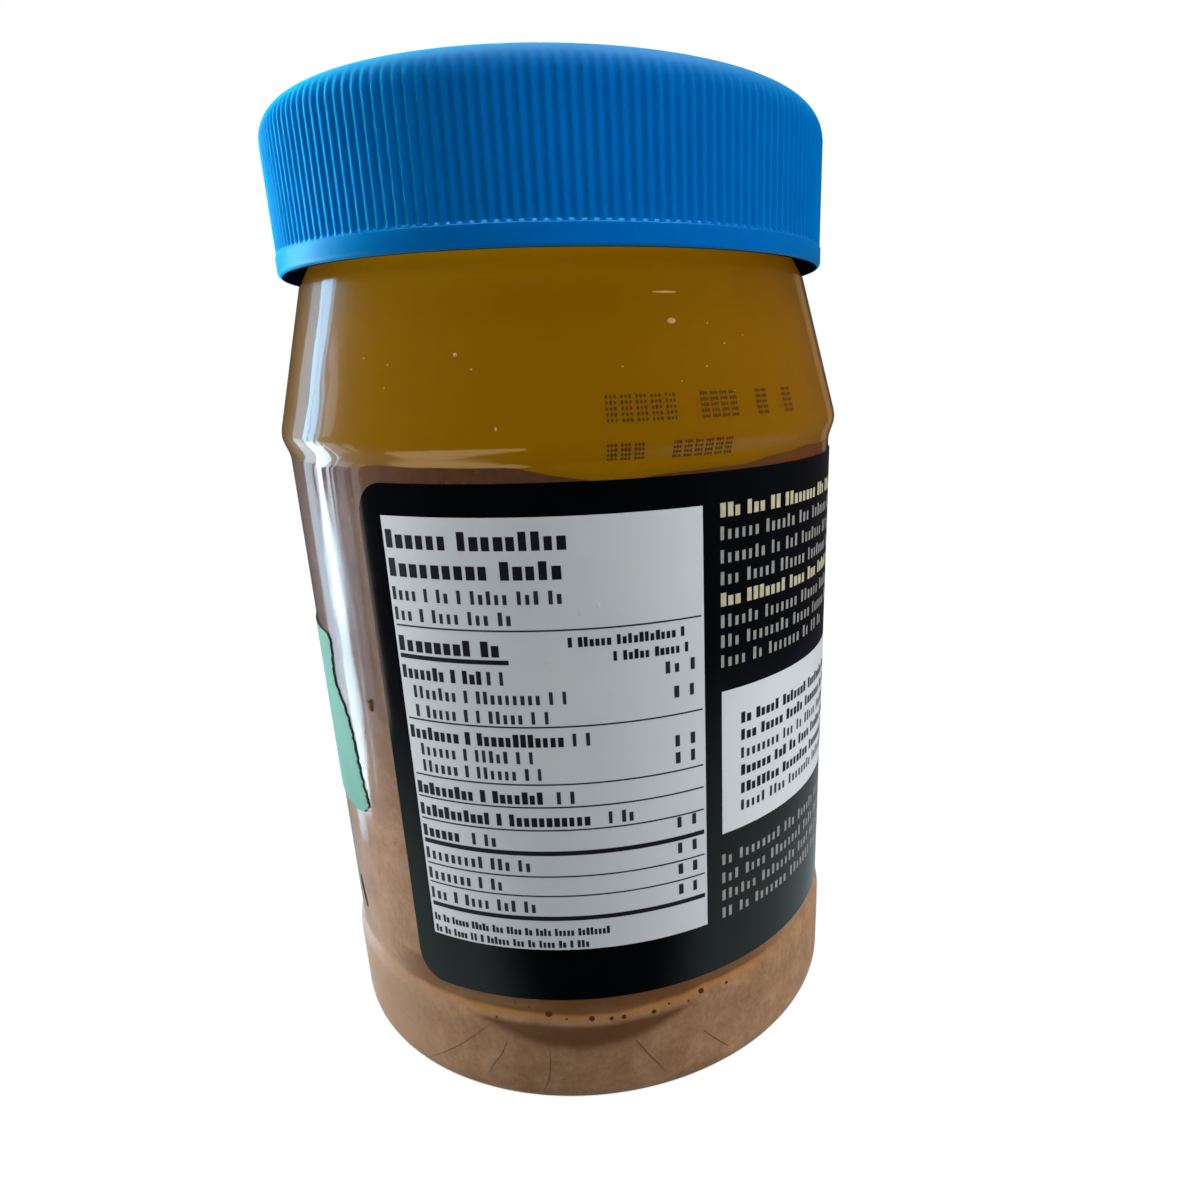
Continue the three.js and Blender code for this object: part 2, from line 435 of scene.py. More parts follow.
def clear_plastic():
    """Clear moulded plastic: a Transparent shader with gloss on top, which scuffs have dulled low down."""
    t = Tree("clear_plastic")
    vector, _, height = t.places()
    ripples = t.noise(t.stretched(vector, 1, 1, 0.25), 0.12, 2.0)
    scratches = t.noise(t.stretched(vector, 0.3, 0.3, 6), 0.9, 3.0)
    normal = t.bump(t.math("ADD", ripples, t.math("MULTIPLY", scratches, 0.05)), 0.35, 0.4)
    scuffed = t.mask(height, 25.0, 19.0)
    worn = t.math("MULTIPLY", t.mask(height, 112.0, 100.0), t.math("ADD", 0.03, t.math("MULTIPLY", scratches, 0.12)))
    rough = t.math("ADD", t.math("ADD", 0.02, worn), t.math("MULTIPLY", scuffed, 0.25))
    gloss = t.add("ShaderNodeBsdfGlossy", {"Roughness": rough, "Normal": normal})
    clear = t.add("ShaderNodeBsdfTransparent", {"Color": (0.97, 0.975, 0.965, 1)})
    facing = t.add("ShaderNodeLayerWeight", {"Blend": 0.5}).outputs["Facing"]
    shine = t.math("ADD", 0.04, t.math("MULTIPLY", 0.9, t.math("POWER", facing, 5.0)))
    shine = t.math("MULTIPLY", shine, t.math("SUBTRACT", 1.0, t.math("MULTIPLY", scuffed, 0.8)))
    both = t.add("ShaderNodeMixShader", {0: shine, 1: clear.outputs[0], 2: gloss.outputs[0]})
    t.tree.links.new(both.outputs[0], t.output.inputs["Surface"])
    return t.material


def cap_plastic(name, tones, roughness, shine):
    """Moulded plastic with a faint cloudiness and fine scuffs, satin on the ribs and smoother on the flange."""
    t = Tree(name)
    vector, _, _ = t.places()
    cloud = t.noise(vector, 0.05, 3.0)
    grain = t.noise(vector, 2.4, 2.0)
    color = t.ramp(cloud, [(0.3, tones[0]), (0.7, tones[1])])
    scuffs = t.noise(t.stretched(vector, 1, 1, 0.2), 0.8, 4.0)
    rough = t.math("ADD", roughness, t.math("MULTIPLY", scuffs, 0.14))
    return t.surface({
        "Base Color": color, "Roughness": rough, "IOR": 1.5, "Specular IOR Level": shine,
        "Specular Tint": (0.0, 0.7, 1.0, 1), "Sheen Weight": 0.4, "Sheen Roughness": 0.5,
        "Sheen Tint": (0.0, 0.75, 1.0, 1), "Subsurface Weight": 0.8,
        "Subsurface Radius": (0.4, 0.7, 1.0), "Subsurface Scale": 0.0015,
        "Normal": t.bump(grain, 0.08, 0.1),
    })


def oil_look():
    """Amber oil, clear above and cloudy towards the paste. It has a painted glow, an emission standing in for light
    spread through the oil, stronger where it is cloudy, and its colour is painted lighter and yellower towards -X,
    where the left lights fall.
    """
    t = Tree("amber_oil")
    vector, angle, height = t.places()
    across = t.add("ShaderNodeSeparateXYZ", {"Vector": vector}).outputs["X"]
    drift = t.noise(t.stretched(vector, 1, 1, 0.5), 0.05, 3.0)
    # side runs from -X to +X with random drift. The colours below are painted lighter and yellower towards -X, where
    # the left lights fall: painted light.
    side = t.math("ADD", t.mask(across, -40.0, 45.0), t.math("MULTIPLY", t.math("SUBTRACT", drift, 0.5), 0.8))
    clear_color = t.ramp(side, [(0.1, srgb(158, 119, 4)), (0.9, srgb(146, 92, 0))])
    cloudy_color = t.ramp(side, [(0.1, srgb(104, 77, 5)), (0.9, srgb(106, 66, 0))])
    cloud = t.mask(t.math("ADD", height, t.math("MULTIPLY", drift, 2.0)), 144.0, 124.0)
    # Painted glow: emission that stands in for light spread through the oil, stronger where it is cloudy.
    glow = t.mix(cloud, (0.045, 0.024, 0, 1), (0.13, 0.06, 0.0004, 1))
    return t.surface({
        "Base Color": t.mix(cloud, clear_color, cloudy_color), "Roughness": 0.3, "IOR": 1.47,
        "Specular Tint": (0, 0, 0, 1), "Transmission Weight": t.math("SUBTRACT", 0.97, t.math("MULTIPLY", cloud, 0.9)),
        "Subsurface Weight": 1.0, "Subsurface Radius": (1.0, 0.7, 0.15), "Subsurface Scale": 0.05,
        "Emission Color": glow, "Emission Strength": 1.0,
    })


def paste_look():
    """Ground paste pressed on the wall: mottled, with pale crumbs, painted shade higher up, painted light low on the
    left, a gold oily line at the lower step that is also a painted wet highlight, a darker amber-brown band above it
    under the label, and a darker edge under the oil."""
    t = Tree("ground_paste")
    vector, angle, height = t.places()
    mottle = t.noise(vector, 0.16, 6.0, 0.62)
    fine = t.noise(vector, 0.9, 4.0, 0.7)
    mixed = t.math("ADD", t.math("MULTIPLY", mottle, 0.6), t.math("MULTIPLY", fine, 0.4))
    color = t.ramp(mixed, [
        (0.36, srgb(146, 109, 80)), (0.5, srgb(165, 127, 97)), (0.64, srgb(184, 146, 114)),
    ])
    # Darker and redder higher up the wall: painted shade.
    upper_painted_shade = t.mask(height, 40.0, 88.0)
    color = t.mix(upper_painted_shade, color, t.mix(1.0, color, (0.42, 0.36, 0.36, 1), "MULTIPLY"))
    crumbs = t.mask(t.noise(vector, 1.5, 2.0, 0.5), 0.66, 0.74)
    color = t.mix(t.math("MULTIPLY", crumbs, 0.5), color, srgb(200, 150, 104))
    wobble = t.math("MULTIPLY", t.math("SUBTRACT", t.noise(vector, 0.12, 3.0), 0.5), 1.2)
    shifted = t.math("ADD", height, wobble)
    front = t.window(angle, -136.0, -50.0, 8.0)
    sagging = t.math("ADD", shifted, t.math("MULTIPLY", t.window(angle, -110.0, -78.0, 14.0), 1.1))
    # Paler and greyer low down towards -140 degrees, on the left: painted light.
    grey = t.math("MULTIPLY", t.mask(height, 23.0, 18.0), t.mask(angle, -112.0, -140.0))
    color = t.mix(t.math("MULTIPLY", grey, 0.6), color, srgb(150, 124, 102))
    # A darker amber-brown band on the front, from the gold line up under the label's lower edge.
    under_label_band = t.math("MULTIPLY", t.window(sagging, 20.6, 26.0, 0.5), front)
    color = t.mix(t.math("MULTIPLY", under_label_band, 0.85), color, srgb(114, 74, 36))
    # A gold line at the lower step on the front: the oil's colour, brightened as a painted wet highlight.
    gold = t.math("MULTIPLY", t.window(sagging, 19.7, 20.5, 0.5), t.window(angle, -122.0, -50.0, 12.0))
    color = t.mix(t.math("MULTIPLY", gold, 0.8), color, srgb(182, 128, 62))
    sag = t.math("MULTIPLY", t.math("POWER", t.math("ADD", angle, 94.0), 2.0), 0.011)
    bowl = t.math("SUBTRACT", shifted, sag)
    patch = t.math("MULTIPLY", t.mask(bowl, 11.8, 14.4), t.mask(sagging, 19.4, 18.2))
    color = t.mix(t.math("MULTIPLY", patch, 0.85), color, srgb(100, 62, 32))
    smear = t.math("MULTIPLY", t.window(angle, -137.0, -131.5, 1.5), t.window(height, 72.0, 84.0, 4.0))
    color = t.mix(t.math("MULTIPLY", smear, 0.65), color, srgb(104, 62, 26))
    edge = t.math("ADD", 0.5, t.math("MULTIPLY", t.mask(angle, -110.0, -45.0), 0.45))
    top = t.math("MULTIPLY", t.mask(height, 105.8, 108.8), edge)
    color = t.mix(top, color, srgb(106, 60, 24))
    relief = t.math("ADD", t.math("MULTIPLY", mottle, 0.5), t.math("MULTIPLY", fine, 0.5))
    return t.surface({
        "Base Color": color, "Roughness": 0.62, "Specular IOR Level": 0.25,
        "Subsurface Weight": 0.25, "Subsurface Radius": (1.0, 0.6, 0.35), "Subsurface Scale": 0.0015,
        "Normal": t.bump(relief, 0.35, 0.35),
    })


def film(name, color, other, roughness=0.22, coat=0.35):
    """Printed film: an even colour with a faint drift, and a gloss that varies a little."""
    t = Tree(name)
    vector, _, _ = t.places()
    drift = t.noise(vector, 0.06, 3.0)
    grain = t.noise(vector, 3.0, 2.0)
    rough = t.math("ADD", roughness - 0.04, t.math("MULTIPLY", t.noise(vector, 0.3, 3.0), 0.08))
    return t.surface({
        "Base Color": t.ramp(drift, [(0.3, color), (0.7, other)]), "Roughness": rough, "IOR": 1.45,
        "Coat Weight": coat, "Coat Roughness": 0.12, "Normal": t.bump(grain, 0.05, 0.05),
    })


def ink(name, color, roughness=0.5, shine=0.5):
    """A plain colour, a little uneven, for print, small marks and the cap's painted shade."""
    t = Tree(name)
    vector, _, _ = t.places()
    tone = t.noise(vector, 0.8, 2.0)
    darker = tuple(0.82 * c for c in color[:3]) + (1,)
    return t.surface({
        "Base Color": t.ramp(tone, [(0.35, darker), (0.65, color)]), "Roughness": roughness,
        "Specular IOR Level": shine,
    })


# The jar, its contents and its cap


def make_jar():
    rim = CAP_HIGH.z - CAP_RECESS - CAP_TOP_WALL - 0.3
    outside = foot_profile(0) + side_profile(0, CORNER_RADIUS + 1, NECK_LOW)
    outside += [(NECK_RADIUS, NECK_LOW + 4), (NECK_RADIUS, rim)]
    inside = foot_profile(WALL) + side_profile(WALL, CORNER_RADIUS + 1, NECK_LOW - 2)
    inside += [(NECK_RADIUS - NECK_WALL, NECK_LOW + 1), (NECK_RADIUS - NECK_WALL, rim)]
    vertices, faces = turned(outside + inside[::-1], JAR_SIDES)
    return piece("clear_jar", vertices, faces, clear_plastic(), "jar", ["jar"])


def make_paste():
    edge_radius = PANEL_RADIUS - PASTE_INSET

    def place(radius, height, degrees):
        share = min(1.0, radius / edge_radius)
        if height < PASTE_LEVEL:
            return around(radius, degrees, height)
        waves = 0.9 * (1 - share ** 2) + paste_edge(degrees) * share ** 2
        return around(radius, degrees, PASTE_LEVEL + waves)

    profile = foot_profile(PASTE_INSET) + side_profile(PASTE_INSET, CORNER_RADIUS + 1, PASTE_LEVEL - 3)
    profile += [(edge_radius * share, PASTE_LEVEL) for share in (1, 0.97, 0.9, 0.75, 0.5, 0.25, 0)]
    vertices, faces = turned(profile, JAR_SIDES, place=place)
    piece("settled_paste", vertices, faces, paste_look(), "peanut_butter", ["peanut_butter"])


def make_oil():
    edge_radius = PANEL_RADIUS - OIL_INSET
    bottom = PASTE_LEVEL - 0.05

    def place(radius, height, degrees):
        share = min(1.0, radius / edge_radius)
        if height > bottom + 0.01:
            return around(radius, degrees, height)
        waves = 0.9 * (1 - share ** 2) + paste_edge(degrees) * share ** 2
        return around(radius, degrees, bottom + waves)

    profile = [(edge_radius * share, bottom) for share in (0, 0.25, 0.5, 0.75, 0.9, 0.97, 1)]
    profile += side_profile(OIL_INSET, PASTE_LEVEL + 1.2, NECK_LOW - 2)
    neck = NECK_RADIUS - NECK_WALL + 0.2
    profile += [(neck, NECK_LOW + 1), (neck, OIL_HIGH.z), (0, OIL_HIGH.z)]
    vertices, faces = turned(profile, JAR_SIDES, place=place)
    piece("risen_oil", vertices, faces, oil_look(), "oil", ["oil"])


def make_cap():
    low = CAP_LOW.z
    high = CAP_HIGH.z
    flange_top = low + FLANGE_HEIGHT
    fillet_low = high - CAP_FILLET
    sides = RIBS * COLUMNS_PER_RIB
    steps = 6
    outer = [(CAP_RADIUS - CAP_EDGE_ROUND * (1 - math.sin(math.radians(15 * i))),
              low + CAP_EDGE_ROUND * (1 - math.cos(math.radians(15 * i))), 0.0) for i in range(7)]
    outer.append((CAP_RADIUS, flange_top - 0.8, 0.0))
    for i in range(5):
        angle = math.radians(22.5 * i)
        outer.append((CAP_RADIUS - FLANGE_LEDGE * (1 - math.cos(angle)),
                      flange_top - FLANGE_LEDGE * (1 - math.sin(angle)), 0.0))
    crest = CAP_RADIUS - FLANGE_LEDGE - 0.01
    outer += [(crest, flange_top + RUN_OUT * i / 4, smoothstep(i, 0, 4)) for i in range(1, 5)]
    outer += [(crest + (CAP_TOP_RADIUS - crest) * i / steps,
               flange_top + RUN_OUT + (fillet_low - flange_top - RUN_OUT) * i / steps, 1.0)
              for i in range(1, steps + 1)]
    for i in range(1, 13):
        angle = math.radians(7.5 * i)
        fade = 1 - smoothstep(7.5 * i, 10, 55)
        outer.append((CAP_TOP_RADIUS - CAP_FILLET + CAP_FILLET * math.cos(angle),
                      fillet_low + CAP_FILLET * math.sin(angle), fade))
    depth = {}
    for radius, height, share in outer:
        depth[(round(radius, 6), round(height, 6))] = share
    recess = high - CAP_RECESS
    profile = [(radius, height) for radius, height, _ in outer]
    profile += [(CAP_RECESS_RADIUS + CAP_RECESS, high), (CAP_RECESS_RADIUS, recess), (0, recess)]
    inner_radius = CAP_RADIUS - CAP_SKIRT_WALL
    ceiling = recess - CAP_TOP_WALL
    inside = [(0, ceiling), (inner_radius - CAP_SKIRT_WALL, ceiling),
              (inner_radius, ceiling - CAP_SKIRT_WALL), (inner_radius, low + 0.5),
              (inner_radius + 0.3, low), (CAP_RADIUS - CAP_EDGE_ROUND, low)]

    def place(radius, height, degrees):
        share = depth.get((round(radius, 6), round(height, 6)), 0.0)
        turn = 2 * math.pi * RIBS * degrees / 360
        groove = 0.5 - 0.5 * math.cos(turn)
        return around(radius - RIB_DEPTH * share * groove, degrees, height)

    vertices, faces = turned(inside[:-1] + profile, sides, place=place)
    satin = cap_plastic("cap_satin", (srgb(0, 117, 194), srgb(0, 123, 204)), 0.45, 0.02)
    # The flange's colours are painted a little lighter than the ribs' to stand for the extra light its smooth face
    # catches: painted light.
    smooth = cap_plastic("cap_smooth_painted_lighter", (srgb(0, 122, 204), srgb(0, 127, 211)), 0.25, 0.2)
    cap = piece("ribbed_cap", vertices, faces, satin, "cap", ["cap"], sharp=50)
    cap.data.materials.append(smooth)
    # The underside and the inside of the skirt get a darker navy colour: painted shade.
    cap.data.materials.append(ink("cap_painted_shade", srgb(12, 30, 96), 0.6, 0.0))
    for polygon in cap.data.polygons:
        inward = polygon.center.xy.length < (inner_radius + 0.35) * MM and polygon.center.z < fillet_low * MM
        if inward or polygon.center.z < (low + 0.02) * MM:
            polygon.material_index = 2
        elif polygon.center.z < (flange_top + RUN_OUT) * MM:
            polygon.material_index = 1
    return cap


# Labels and print

PANEL_START = -124.4
PANEL_END = -67.15
TEXT_START = 0.5
TEXT_END = 47.9


def panel_degrees(length):
    """The angle of a place given in millimetres from the white panel's left edge."""
    return PANEL_START + arc_degrees(length)


def words_row(start, height, pitch, size, words, thin=0.74):
    """Blank print blocks: one small block for each letter place, grouped like words. start is in
    degrees, height is the row's middle, and size is the height of a tall block."""
    blocks = []
    at = start
    base = height - 0.5 * size
    for count in words:
        for i in range(count):
            tall = i == 0 or random.random() > 0.8
            top = base + size * (1.0 if tall else 0.74)
            width = thin * (0.9 + 0.2 * random.random())
            blocks.append((at, at + arc_degrees(pitch * width), base, top))
            at += arc_degrees(pitch)
        at += arc_degrees(0.75 * pitch)
    return blocks


def print_blocks(name, blocks, material, slot, lift):
    parts = [block(a, b, low, high, FILM_OUTER - 0.05, FILM_OUTER + lift) for a, b, low, high in blocks]
    vertices, faces = joined(parts)
    return piece(name, vertices, faces, material, slot, sharp=30)


# Rows of the table: millimetres from the panel's edge, height, pitch, block height, letters of each word
TABLE_BOLD = [
    (0.5, 100.4, 1.78, 2.7, (6, 9)),
    (0.5, 96.2, 1.84, 2.7, (9, 5)),
    (0.5, 84.6, 1.6, 2.4, (8, 2)),
    (27.4, 85.5, 0.84, 1.5, (1, 6, 11, 1)),
    (33.9, 83.0, 0.84, 1.5, (1, 5, 5, 1)),
    (0.5, 80.1, 1.12, 2.1, (7, 1, 3)),
    (0.5, 70.2, 1.14, 2.1, (8, 1, 12)),
    (0.5, 60.6, 1.18, 2.1, (9, 1, 7)),
    (0.5, 56.7, 1.18, 2.1, (11, 1, 11)),
    (0.5, 52.8, 1.22, 2.1, (6,)),
    (0.5, 36.3, 0.66, 1.4, (2, 2, 5, 5, 3, 4, 2, 4, 5, 8)),
    (0.5, 34.0, 0.68, 1.4, (2, 2, 4, 2, 1, 6, 3, 2, 4, 2, 1, 3)),
]
TABLE_PLAIN = [
    (0.5, 92.3, 1.2, 2.0, (4, 1, 2, 1, 5, 3, 2)),
    (0.5, 89.2, 1.22, 2.0, (3, 1, 4, 3, 2)),
    (15.0, 80.1, 1.12, 2.1, (1, 1)),
    (2.2, 77.0, 1.14, 2.0, (7, 1, 9, 1, 1)),
    (2.2, 73.9, 1.14, 2.0, (1, 5, 1, 1, 5, 1, 1)),
    (27.2, 70.2, 1.14, 2.1, (1, 1)),
    (2.2, 67.4, 1.14, 2.0, (6, 1, 5, 1, 1)),
    (2.2, 64.6, 1.14, 2.0, (6, 1, 6, 1, 1)),
    (24.2, 60.6, 1.18, 2.1, (1, 1)),
    (32.0, 56.7, 1.18, 2.1, (1, 2)),
    (9.8, 52.8, 1.22, 2.1, (1, 2)),
    (0.5, 48.6, 1.24, 2.1, (9, 3, 2)),
    (0.5, 44.8, 1.24, 2.1, (7, 1, 2)),
    (0.5, 41.0, 1.22, 2.1, (3, 1, 4, 3, 2)),
    (41.8, 80.2, 1.5, 1.9, (2, 1)),
    (43.1, 76.1, 1.5, 1.9, (1, 1)),
    (43.1, 68.0, 1.5, 1.9, (1, 1)),
    (43.1, 65.1, 1.5, 1.9, (1, 1)),
    (43.1, 53.8, 1.5, 1.9, (1, 1)),
    (43.1, 49.1, 1.5, 1.9, (1, 1)),
    (43.1, 45.2, 1.5, 1.9, (1, 1)),
    (43.1, 41.4, 1.5, 1.9, (1, 1)),
]
THIN_RULES = (87.4, 72.4, 62.9, 59.0, 55.0, 46.7, 43.1)
THICK_RULES = (50.9, 38.9)
SHORT_RULE = (82.6, 18.6)

# Rows of the column to the right of the table
COLUMN_START = -63.5
COLUMN_END = 14.0
COLUMN_BOLD = (102.7, 89.2)
COLUMN_PLAIN = (99.3, 95.8, 92.5, 85.8, 82.6)
COLUMN_FOOT = (44.3, 40.8, 37.4, 33.9)
BOX_START = -63.4
BOX_END = 13.6
BOX_LOW = 49.2
BOX_HIGH = 74.4
BOX_TEXT_START = -58.7
BOX_ROWS = ((69.0, True), (66.0, True), (62.8, False), (59.7, True), (56.4, True), (53.3, False))


def fill_words(start, end, pitch, short=1.0):
    """Word lengths that fill a row from start to end degrees."""
    room = math.radians((end - start) * short) * FILM_OUTER
    words = []
    while room > 4 * pitch:
        count = random.randint(2, 8)
        count = min(count, int(room / pitch))
        words.append(count)
        room -= (count + 0.75) * pitch
    return words


def make_back_label():
    black = film("black_film", srgb(2, 4, 7), srgb(5, 8, 12), 0.1, 0.0)
    grid = rounded_grid(BACK_START, BACK_END, FILM_LOW.z + 0.65, FILM_HIGH.z, BACK_CORNER)
    vertices, faces = sheet_round(grid, FILM_INNER, FILM_OUTER)
    piece("back_film", vertices, faces, black, "back_label", ["back_label"])

    white = film("white_print", srgb(216, 223, 230), srgb(223, 230, 236), 0.4, 0.1)
    panels = [
        sheet_round(rounded_grid(PANEL_START, PANEL_END, 32.9, 103.7, 0), FILM_OUTER - 0.05,
                    FILM_OUTER + PRINT_LIFT),
        sheet_round(rounded_grid(BOX_START, BOX_END, BOX_LOW, BOX_HIGH, 0), FILM_OUTER - 0.05,
                    FILM_OUTER + PRINT_LIFT),
    ]
    vertices, faces = joined(panels)
    piece("white_panels", vertices, faces, white, "back_label", sharp=30)

    dark = ink("dark_print", srgb(20, 22, 30))
    bold = []
    for start, height, pitch, size, words in TABLE_BOLD:
        bold += words_row(panel_degrees(start), height, pitch, size, words, 0.7)
    plain = []
    for start, height, pitch, size, words in TABLE_PLAIN:
        plain += words_row(panel_degrees(start), height, pitch, size, words, 0.5)
    for height in THIN_RULES:
        plain.append((panel_degrees(TEXT_START), panel_degrees(TEXT_END), height - 0.13, height + 0.13))
    for height in THICK_RULES:
        bold.append((panel_degrees(TEXT_START), panel_degrees(TEXT_END), height - 0.4, height + 0.4))
    height, length = SHORT_RULE
    bold.append((panel_degrees(TEXT_START), panel_degrees(length), height - 0.35, height + 0.35))
    for height, heavy in BOX_ROWS:
        words = fill_words(BOX_TEXT_START, BOX_END - 6, 1.25)
        row = words_row(BOX_TEXT_START, height, 1.25, 1.9, words, 0.7 if heavy else 0.5)
        (bold if heavy else plain).extend(row)
    print_blocks("table_print_bold", bold, dark, "back_label", 2 * PRINT_LIFT)
    print_blocks("table_print_plain", plain, ink("plain_print", srgb(40, 43, 54)), "back_label", 2 * PRINT_LIFT)

    cream = []
    pale = []
    for height in COLUMN_BOLD:
        cream += words_row(COLUMN_START, height, 1.4, 2.1, fill_words(COLUMN_START, COLUMN_END, 1.4), 0.68)
    for height in COLUMN_PLAIN + (79.4,) + COLUMN_FOOT:
        share = {79.4: 0.55, 33.9: 0.8, 40.8: 0.9}.get(height, 1.0)
        words = fill_words(COLUMN_START, COLUMN_END, 1.4, share)
        pale += words_row(COLUMN_START, height, 1.4, 2.0, words, 0.45)
    print_blocks("cream_print", cream, ink("cream_ink", srgb(204, 198, 170)), "back_label", PRINT_LIFT)
    print_blocks("pale_print", pale, ink("pale_ink", srgb(160, 162, 158)), "back_label", PRINT_LIFT)


# The green label's outline, as in the frame
FRONT_MIDDLE = 125.4
FRONT_PANEL = 34.0
FRONT_SHOULDER = 62.0
WING_LOW = 50.0
WING_HIGH = 82.0
WING_BASE = 76.0
# The wing's end: height and degrees from the label's middle
WING_TIP = [
    (49.7, 86.4), (50.6, 90.4), (51.8, 92.6), (53.2, 92.9), (56.0, 91.9), (59.7, 91.0), (64.6, 90.3),
    (68.0, 89.2), (70.2, 87.8), (71.6, 86.2), (73.4, 84.6), (75.4, 84.4), (77.4, 85.0), (79.4, 85.5),
    (81.2, 85.4), (82.1, 84.6),
]


def tip_angle(height):
    torn = 0.24 * math.sin(2.9 * height) + 0.18 * math.sin(6.1 * height + 1) + 0.1 * math.sin(11.3 * height)
    for (z0, a0), (z1, a1) in zip(WING_TIP, WING_TIP[1:]):
        if height <= z1:
            return a0 + (a1 - a0) * max(0.0, (height - z0) / (z1 - z0)) + torn
    return WING_TIP[-1][1] + torn


def front_grid(grow=0.0):
    """The green label's grid of (degrees, height), grown all round by grow millimetres."""
    rows = 80
    wing_steps = 6
    extra = arc_degrees(grow)
    reach = [WING_BASE * i / 38 for i in range(39)]
    grid = []
    for r in range(rows + 1):
        share = r / rows
        row = []
        for side in (-1, 1):
            half = []
            for away in reach:
                blend = smoothstep(away, FRONT_PANEL, FRONT_SHOULDER)
                low = FRONT_LOW.z + (WING_LOW - FRONT_LOW.z) * blend - grow
                high = FRONT_HIGH.z + (WING_HIGH - FRONT_HIGH.z) * blend + grow
                half.append((FRONT_MIDDLE + side * away, low + (high - low) * share))
            height = WING_LOW - grow + (WING_HIGH - WING_LOW + 2 * grow) * share
            tip = tip_angle(height) + extra
            for i in range(1, wing_steps + 1):
                away = WING_BASE + (tip - WING_BASE) * i / wing_steps
                half.append((FRONT_MIDDLE + side * away, height))
            row += half[::-1] if side < 0 else half[1:]
        grid.append(row)
    return grid


def oval(middle, height, half_width, half_height, inner, outer, steps=48):
    """A plain oval patch bent round the jar, with its half sizes in millimetres."""
    columns = []
    for i in range(steps + 1):
        share = -math.cos(math.pi * i / steps)
        lift = max(0.02, math.sqrt(max(0.0, 1 - share * share)) * half_height)
        columns.append((middle + arc_degrees(half_width * share), lift))
    grid = [[(d, height - lift) for d, lift in columns], [(d, height + lift) for d, lift in columns]]
    return sheet_round(grid, inner, outer)


def make_front_label():
    mint = film("mint_film", srgb(86, 146, 126), srgb(98, 158, 140), 0.6, 0.0)
    dark = film("label_edge", srgb(54, 72, 64), srgb(76, 96, 86))
    vertices, faces = sheet_round(front_grid(), FILM_INNER + 0.02, FILM_OUTER)
    piece("front_film", vertices, faces, mint, "front_label", ["front_label"])
    vertices, faces = sheet_round(front_grid(0.12), FILM_INNER, FILM_OUTER - 0.04)
    piece("front_film_edge", vertices, faces, dark, "front_label")

    low = FILM_OUTER - 0.05
    cream = ink("cream_shape", srgb(240, 232, 208), 0.4)
    shapes = [oval(FRONT_MIDDLE, 78, 25, 17, low, FILM_OUTER + PRINT_LIFT)]
    vertices, faces = joined(shapes)
    piece("front_oval", vertices, faces, cream, "front_label", sharp=30)
    band = sheet_round(rounded_grid(FRONT_MIDDLE - 32, FRONT_MIDDLE + 32, 40, 54, 4), low, FILM_OUTER + PRINT_LIFT)
    piece("front_band", *band, ink("band_ink", srgb(24, 28, 32), 0.35), "front_label", sharp=30)
    nut = ink("nut_ink", srgb(178, 118, 58), 0.45)
    nuts = []
    for across, up, turn, size in ((-9, -1, 35, 1.0), (9, 2, -30, 1.0), (0, -9, 0, 0.8)):
        for lobe in (-1, 1):
            x = across + lobe * 4.6 * size * math.cos(math.radians(turn))
            z = 78 + up + lobe * 4.6 * size * math.sin(math.radians(turn))
            nuts.append(oval(FRONT_MIDDLE + arc_degrees(x), z, 5.2 * size, 5.0 * size, low,
                             FILM_OUTER + 2 * PRINT_LIFT, 24))
    vertices, faces = joined(nuts)
    piece("front_nuts", vertices, faces, nut, "front_label", sharp=30)
    bars = []
    for height, length in ((47, 46), (34.5, 30), (31, 20)):
        half = arc_degrees(length / 2)
        bars.append((FRONT_MIDDLE - half, FRONT_MIDDLE + half, height - 1.1, height + 1.1))
    print_blocks("front_bars", bars, cream, "front_label", 2 * PRINT_LIFT)


# Small marks


def shoulder_frame(degrees, height):
    """A point on the outside of the wall and its directions along, up and out."""
    slope = wall_radius(height + 0.2) - wall_radius(height - 0.2)
    here = around(wall_radius(height), degrees, height)
    along = around(1, degrees + 90, 0)
    up = (around(slope, degrees, 0) + Vector((0, 0, 0.4))).normalized()
    return here, along, up, along.cross(up).normalized()


DATE_ROWS = [
    (115.7, 119.5, ((-83.8, -71.1, 5), (-67.1, -59.1, 4), (-54.9, -51.9, 2), (-47.6, -44.5, 2))),
    (110.0, 113.2, ((-84.0, -77.2, 3), (-72.8, -60.8, 6))),
]


def make_date_marks():
    parts = []
    for low, high, groups in DATE_ROWS:
        for start, end, count in groups:
            pitch = (end - start) / count
            for cell in range(count):
                for column, row in [(c, r) for c in range(3) for r in range(5)]:
                    degrees = start + pitch * (cell + 0.18 + 0.27 * column)
                    height = low + (high - low) * (row + 0.5) / 5
                    here, along, up, out = shoulder_frame(degrees, height)
                    size = 0.19 + 0.06 * random.random()
                    parts.append(blob(here, along, up, out, size, 1.3 * size, 0.03, 8, 4))
    vertices, faces = joined(parts)
    piece("date_marks", vertices, faces, ink("brown_ink", srgb(92, 60, 8), 0.6), "jar")


